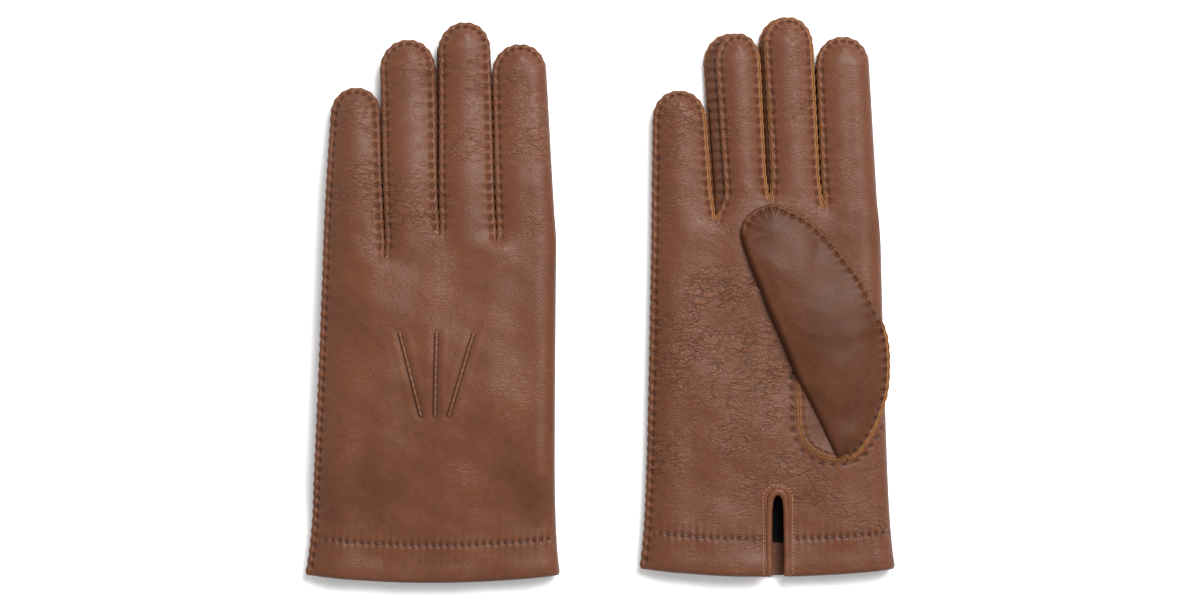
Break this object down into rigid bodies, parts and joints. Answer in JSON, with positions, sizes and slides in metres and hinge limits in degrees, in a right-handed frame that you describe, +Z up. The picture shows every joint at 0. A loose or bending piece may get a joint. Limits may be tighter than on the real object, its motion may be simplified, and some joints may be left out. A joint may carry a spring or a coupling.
{
  "type": "pair of leather dress gloves",
  "caption": "Pair of lined leather dress gloves lying flat, one back up and one palm up, with hand-sewn seams, a bound vent and three points on the back.",
  "frame": {"origin": "centre of the pair's box, on the surface they lie on", "axes": "+X from the left glove to the right glove, +Y to the fingertips, +Z up"},
  "size_m": [0.2626, 0.2518, 0.024],
  "materials": {
    "leather": "fine-grained hairsheep nappa, warm brown, soft semi-matt dressing",
    "side_leather": "the same leather in the fourchettes and quirk, grain a little more open",
    "lining": "black knitted lining, matt",
    "thread": "waxed brown sewing thread, slight sheen"
  },
  "bodies": {
    "left_hand": {"left_trank_hand": "leather", "left_hem_turnup": "leather", "left_lining_hand": "lining", "left_thumb_quirk": "side_leather", "left_vent_binding": "leather", "left_point_pinky": "leather", "left_point_middle": "leather", "left_point_index": "leather", "left_hem_thread": "thread", "left_outseam_thread": "thread", "left_thumb_seam_thread": "thread"},
    "left_pinky": {"left_trank_pinky": "leather", "left_fourchette_pinky_by_ring": "side_leather", "left_lining_pinky": "lining"},
    "left_ring": {"left_trank_ring": "leather", "left_fourchette_ring_by_pinky": "side_leather", "left_fourchette_ring_by_middle": "side_leather", "left_lining_ring": "lining"},
    "left_middle": {"left_trank_middle": "leather", "left_fourchette_middle_by_ring": "side_leather", "left_fourchette_middle_by_index": "side_leather", "left_lining_middle": "lining"},
    "left_index": {"left_trank_index": "leather", "left_fourchette_index_by_middle": "side_leather", "left_lining_index": "lining"},
    "left_thumb": {"left_thumb": "leather", "left_lining_thumb": "lining"},
    "right_hand": {"right_trank_hand": "leather", "right_hem_turnup": "leather", "right_lining_hand": "lining", "right_thumb_quirk": "side_leather", "right_vent_binding": "leather", "right_point_pinky": "leather", "right_point_middle": "leather", "right_point_index": "leather", "right_hem_thread": "thread", "right_outseam_thread": "thread", "right_thumb_seam_thread": "thread"},
    "right_pinky": {"right_trank_pinky": "leather", "right_fourchette_pinky_by_ring": "side_leather", "right_lining_pinky": "lining"},
    "right_ring": {"right_trank_ring": "leather", "right_fourchette_ring_by_pinky": "side_leather", "right_fourchette_ring_by_middle": "side_leather", "right_lining_ring": "lining"},
    "right_middle": {"right_trank_middle": "leather", "right_fourchette_middle_by_ring": "side_leather", "right_fourchette_middle_by_index": "side_leather", "right_lining_middle": "lining"},
    "right_index": {"right_trank_index": "leather", "right_fourchette_index_by_middle": "side_leather", "right_lining_index": "lining"},
    "right_thumb": {"right_thumb": "leather", "right_lining_thumb": "lining"}
  },
  "joints": [
    {"name": "left_pinky_fold", "type": "hinge", "parent": "left_hand", "child": "left_pinky", "pos_m": [-0.10829, 0.03715, 0.0148], "axis": [-1, 0, 0], "range_deg": [0, 85]},
    {"name": "left_ring_fold", "type": "hinge", "parent": "left_hand", "child": "left_ring", "pos_m": [-0.08155, 0.04715, 0.0148], "axis": [-1, 0, 0], "range_deg": [0, 85]},
    {"name": "left_middle_fold", "type": "hinge", "parent": "left_hand", "child": "left_middle", "pos_m": [-0.05624, 0.04765, 0.0148], "axis": [-1, 0, 0], "range_deg": [0, 85]},
    {"name": "left_index_fold", "type": "hinge", "parent": "left_hand", "child": "left_index", "pos_m": [-0.03124, 0.04315, 0.0148], "axis": [-1, 0, 0], "range_deg": [0, 85]},
    {"name": "left_thumb_open", "type": "hinge", "parent": "left_hand", "child": "left_thumb", "pos_m": [-0.01782, -0.03085, 0.0044], "axis": [0, -1, 0], "range_deg": [0, 110]},
    {"name": "right_pinky_fold", "type": "hinge", "parent": "right_hand", "child": "right_pinky", "pos_m": [0.03655, 0.03985, 0.006], "axis": [1, 0, 0], "range_deg": [0, 85]},
    {"name": "right_ring_fold", "type": "hinge", "parent": "right_hand", "child": "right_ring", "pos_m": [0.06301, 0.04985, 0.006], "axis": [1, 0, 0], "range_deg": [0, 85]},
    {"name": "right_middle_fold", "type": "hinge", "parent": "right_hand", "child": "right_middle", "pos_m": [0.08831, 0.05035, 0.006], "axis": [1, 0, 0], "range_deg": [0, 85]},
    {"name": "right_index_fold", "type": "hinge", "parent": "right_hand", "child": "right_index", "pos_m": [0.11342, 0.04585, 0.006], "axis": [1, 0, 0], "range_deg": [0, 85]},
    {"name": "right_thumb_open", "type": "hinge", "parent": "right_hand", "child": "right_thumb", "pos_m": [0.12892, -0.02815, 0.0184], "axis": [0, 1, 0], "range_deg": [0, 110]},
    {"name": "right_glove_slide", "type": "slide", "parent": "left_hand", "child": "right_hand", "axis": [1, 0, 0], "range_m": [0, 0.06]}
  ]
}
